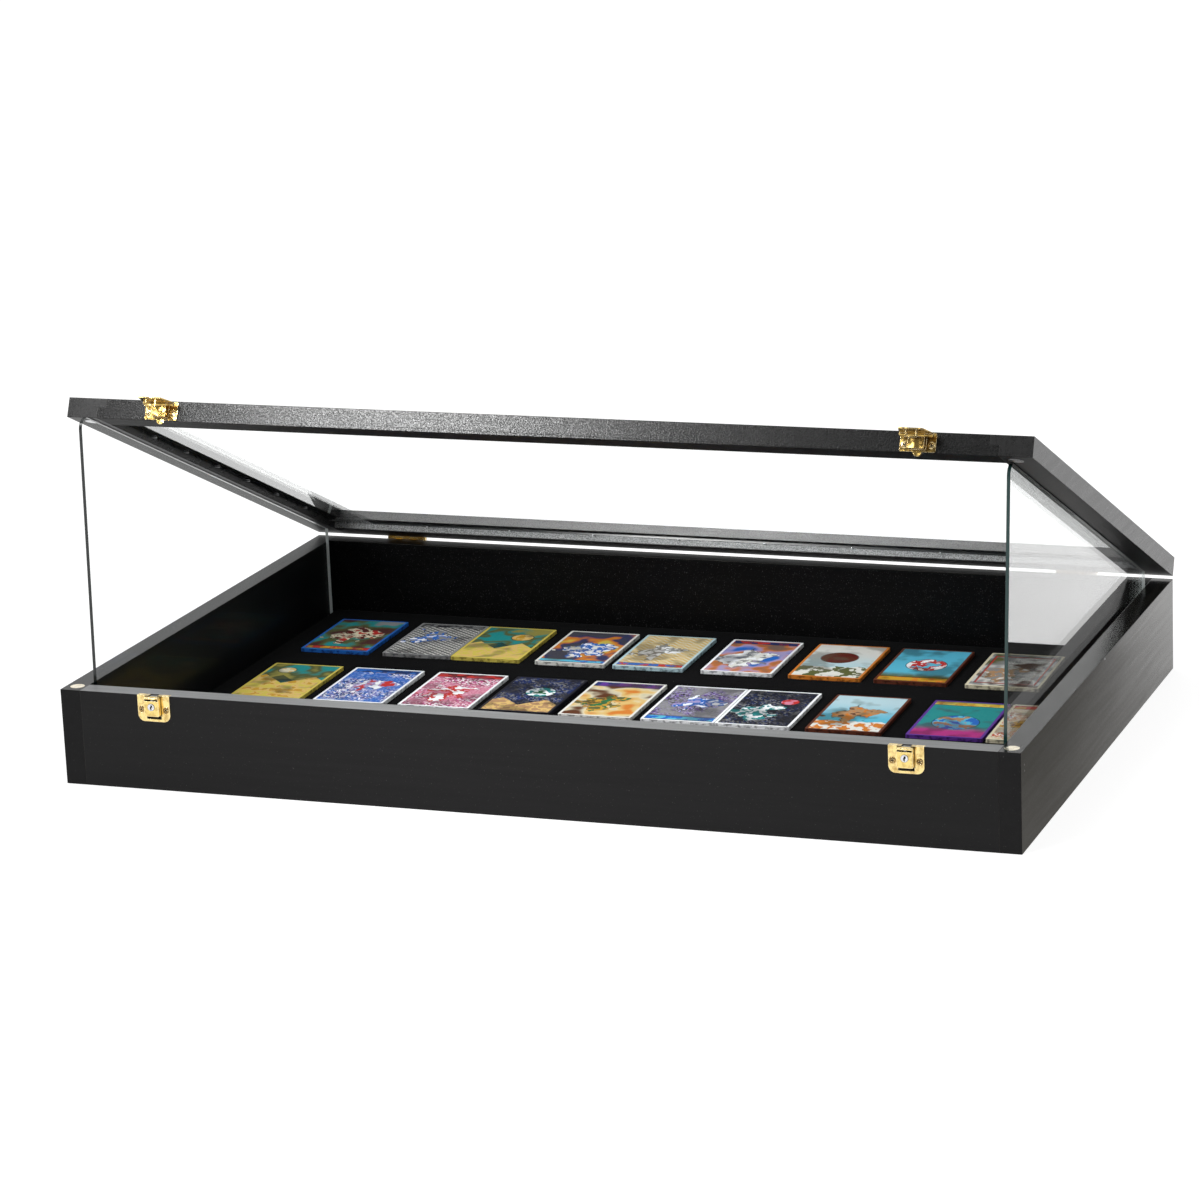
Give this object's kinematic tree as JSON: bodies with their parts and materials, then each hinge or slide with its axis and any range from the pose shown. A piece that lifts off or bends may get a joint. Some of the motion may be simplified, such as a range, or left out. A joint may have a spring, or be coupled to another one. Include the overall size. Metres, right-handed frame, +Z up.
{
  "type": "trading card display case",
  "caption": "Low black wooden display case with a hinged glazed lid standing open on clear side panels, brass locks and hasps, and rows of cards on a black pad.",
  "frame": {"origin": "centre of the base's flat underside, midway between its sides and between its front and back", "axes": "+X to the right seen from the front, +Y to the back, +Z up; the front with its locks faces -Y"},
  "size_m": [0.8636, 0.5748, 0.3439],
  "materials": {
    "black_wood": "painted, satin",
    "black_pad": "matte felt",
    "clear_panel": "polished, clear",
    "brass": "bright plated",
    "steel": "satin nickel",
    "card": "printed gloss card"
  },
  "bodies": {
    "case": {"base_front_wall": "black_wood", "base_back_wall": "black_wood", "base_left_wall": "black_wood", "base_right_wall": "black_wood", "base_floor_panel": "black_wood", "display_pad": "black_pad", "base_magnets": "steel", "left_side_glass": "clear_panel", "right_side_glass": "clear_panel", "left_hinge_base_leaf": "brass", "left_hinge_pin": "brass", "right_hinge_base_leaf": "brass", "right_hinge_pin": "brass", "hinge_base_screws": "brass", "left_lock_plate": "brass", "left_lock_box": "brass", "right_lock_plate": "brass", "right_lock_box": "brass", "lock_screws": "brass", "back_row_card_1": "card", "back_row_card_2": "card", "back_row_card_3": "card", "back_row_card_4": "card", "back_row_card_5": "card", "back_row_card_6": "card", "back_row_card_7": "card", "back_row_card_8": "card", "back_row_card_9": "card", "front_row_card_1": "card", "front_row_card_2": "card", "front_row_card_3": "card", "front_row_card_4": "card", "front_row_card_5": "card", "front_row_card_6": "card", "front_row_card_7": "card", "front_row_card_8": "card", "front_row_card_9": "card", "front_row_card_10": "card"},
    "lid": {"lid_front_rail": "black_wood", "lid_back_rail": "black_wood", "lid_left_rail": "black_wood", "lid_right_rail": "black_wood", "lid_pane": "clear_panel", "glazing_brads": "steel", "lid_strikes": "steel", "left_hinge_lid_leaf": "brass", "right_hinge_lid_leaf": "brass", "hinge_lid_screws": "brass", "left_hasp_plate": "brass", "left_hasp_pin": "brass", "right_hasp_plate": "brass", "right_hasp_pin": "brass", "hasp_screws": "brass"},
    "left_hasp": {"left_hasp_flap": "brass"},
    "right_hasp": {"right_hasp_flap": "brass"},
    "left_key": {"left_key_cylinder": "steel", "left_lock_cam": "steel"},
    "right_key": {"right_key_cylinder": "steel", "right_lock_cam": "steel"}
  },
  "joints": [
    {"name": "lid_hinge", "type": "hinge", "parent": "case", "child": "lid", "pos_m": [0, 0.2859, 0.086], "axis": [-1, 0, 0], "range_deg": [0, 150]},
    {"name": "left_hasp_hinge", "type": "hinge", "parent": "lid", "child": "left_hasp", "pos_m": [-0.3416, -0.23056, 0.33411], "axis": [1, 0, 0], "range_deg": [-80, 90]},
    {"name": "right_hasp_hinge", "type": "hinge", "parent": "lid", "child": "right_hasp", "pos_m": [0.336, -0.23056, 0.33411], "axis": [1, 0, 0], "range_deg": [-80, 90]},
    {"name": "left_key_turn", "type": "hinge", "parent": "case", "child": "left_key", "pos_m": [-0.3416, -0.2834, 0.0769], "axis": [0, 1, 0], "range_deg": [0, 50]},
    {"name": "right_key_turn", "type": "hinge", "parent": "case", "child": "right_key", "pos_m": [0.336, -0.2834, 0.0769], "axis": [0, 1, 0], "range_deg": [0, 50]}
  ]
}
